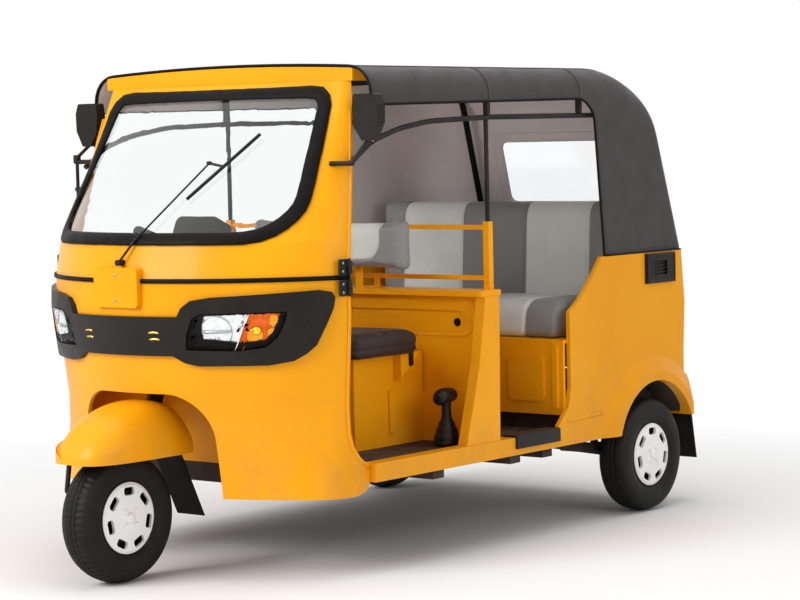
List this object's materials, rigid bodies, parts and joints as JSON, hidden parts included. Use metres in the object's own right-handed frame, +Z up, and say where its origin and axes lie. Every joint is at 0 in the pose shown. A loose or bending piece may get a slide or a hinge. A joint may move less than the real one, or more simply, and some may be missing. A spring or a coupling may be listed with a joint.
{
  "type": "auto rickshaw",
  "caption": "Three-wheeled auto rickshaw with a closed nose, open sides, a soft canopy, a driver's seat and handlebar in front and a passenger bench behind.",
  "frame": {"origin": "on the floor, at the middle of the bounding box", "axes": "+Z up, the front faces -Y, the vehicle's left side is +X"},
  "size_m": [1.3478, 2.647, 1.6359],
  "materials": {
    "front_cowl": "gloss golden yellow enamel",
    "windscreen_panel": "gloss golden yellow enamel",
    "windscreen_seal": "matte black rubber",
    "windscreen": "clear glass",
    "belt_trim": "satin black strip",
    "plate_board": "gloss golden yellow enamel",
    "lamp_fascia": "brown-black moulding",
    "headlamps": "clear ribbed lens",
    "front_indicators": "amber lens",
    "wiper": "satin black",
    "mirrors": "satin black",
    "roof_header": "gloss golden yellow enamel",
    "canopy": "coated grey-brown vinyl sheet",
    "rear_window": "clear soft sheet",
    "canopy_frame": "satin black tube",
    "sills": "gloss golden yellow enamel",
    "floor_pan": "ribbed black mat on steel",
    "underframe": "satin black steel",
    "head_frame": "satin black steel",
    "toe_board": "golden yellow enamel",
    "partition": "gloss golden yellow enamel",
    "guard_rail": "golden yellow enamel",
    "driver_pedestal": "golden yellow enamel",
    "driver_seat": "very dark brown vinyl cover",
    "driver_backrest": "grey striped vinyl cover",
    "hand_lever": "black rod, knob and boot",
    "seat_base": "golden yellow enamel",
    "passenger_cushion": "grey striped vinyl cover",
    "passenger_backrest": "grey striped vinyl cover",
    "rear_quarter_left": "gloss golden yellow enamel",
    "rear_quarter_right": "gloss golden yellow enamel",
    "wheel_liners": "black underbody coating",
    "rear_panel": "gloss golden yellow enamel",
    "tail_lamps": "red lens",
    "rear_bumper": "satin black steel",
    "side_vents": "black moulding",
    "step_plates": "worn tread plate",
    "engine_block": "dull grey casting",
    "rear_arm_left": "satin black steel",
    "rear_arm_right": "satin black steel",
    "steering_fork": "satin black steel",
    "front_mudguard": "gloss golden yellow enamel",
    "front_mudflap": "black rubber",
    "handlebar": "satin black tube with rubber grips",
    "instrument_pod": "satin black moulding",
    "front_tyre": "worn black rubber",
    "front_wheel": "white enamel cover on a black rim",
    "rear_left_tyre": "worn black rubber",
    "rear_left_wheel": "white enamel cover on a black rim",
    "rear_right_tyre": "worn black rubber",
    "rear_right_wheel": "white enamel cover on a black rim",
    "engine_hatch": "gloss golden yellow enamel"
  },
  "bodies": {
    "chassis": {"front_cowl": "front_cowl", "windscreen_panel": "windscreen_panel", "windscreen_seal": "windscreen_seal", "windscreen": "windscreen", "belt_trim": "belt_trim", "plate_board": "plate_board", "lamp_fascia": "lamp_fascia", "headlamps": "headlamps", "front_indicators": "front_indicators", "wiper": "wiper", "mirrors": "mirrors", "roof_header": "roof_header", "canopy": "canopy", "rear_window": "rear_window", "canopy_frame": "canopy_frame", "sills": "sills", "floor_pan": "floor_pan", "underframe": "underframe", "head_frame": "head_frame", "toe_board": "toe_board", "partition": "partition", "guard_rail": "guard_rail", "driver_pedestal": "driver_pedestal", "driver_seat": "driver_seat", "driver_backrest": "driver_backrest", "hand_lever": "hand_lever", "seat_base": "seat_base", "passenger_cushion": "passenger_cushion", "passenger_backrest": "passenger_backrest", "rear_quarter_left": "rear_quarter_left", "rear_quarter_right": "rear_quarter_right", "wheel_liners": "wheel_liners", "rear_panel": "rear_panel", "tail_lamps": "tail_lamps", "rear_bumper": "rear_bumper", "side_vents": "side_vents", "step_plates": "step_plates", "engine_block": "engine_block", "rear_arm_left": "rear_arm_left", "rear_arm_right": "rear_arm_right"},
    "steering": {"steering_fork": "steering_fork", "front_mudguard": "front_mudguard", "front_mudflap": "front_mudflap", "handlebar": "handlebar", "instrument_pod": "instrument_pod"},
    "front_wheel": {"front_tyre": "front_tyre", "front_wheel": "front_wheel"},
    "rear_left_wheel": {"rear_left_tyre": "rear_left_tyre", "rear_left_wheel": "rear_left_wheel"},
    "rear_right_wheel": {"rear_right_tyre": "rear_right_tyre", "rear_right_wheel": "rear_right_wheel"},
    "hatch": {"engine_hatch": "engine_hatch"}
  },
  "joints": [
    {"name": "steering", "type": "hinge", "parent": "chassis", "child": "steering", "pos_m": [0, -1.177, 0], "axis": [0, 0.4067, 0.9135], "range_deg": [-40, 40]},
    {"name": "front_wheel_spin", "type": "hinge", "parent": "steering", "child": "front_wheel", "pos_m": [0, -1.115, 0.2085], "axis": [1, 0, 0], "continuous": true},
    {"name": "rear_left_wheel_spin", "type": "hinge", "parent": "chassis", "child": "rear_left_wheel", "pos_m": [0.603, 0.989, 0.2085], "axis": [1, 0, 0], "continuous": true},
    {"name": "rear_right_wheel_spin", "type": "hinge", "parent": "chassis", "child": "rear_right_wheel", "pos_m": [-0.603, 0.989, 0.2085], "axis": [1, 0, 0], "continuous": true},
    {"name": "hatch_hinge", "type": "hinge", "parent": "chassis", "child": "hatch", "pos_m": [0, 1.294, 0.872], "axis": [1, 0, 0], "range_deg": [0, 80]}
  ]
}
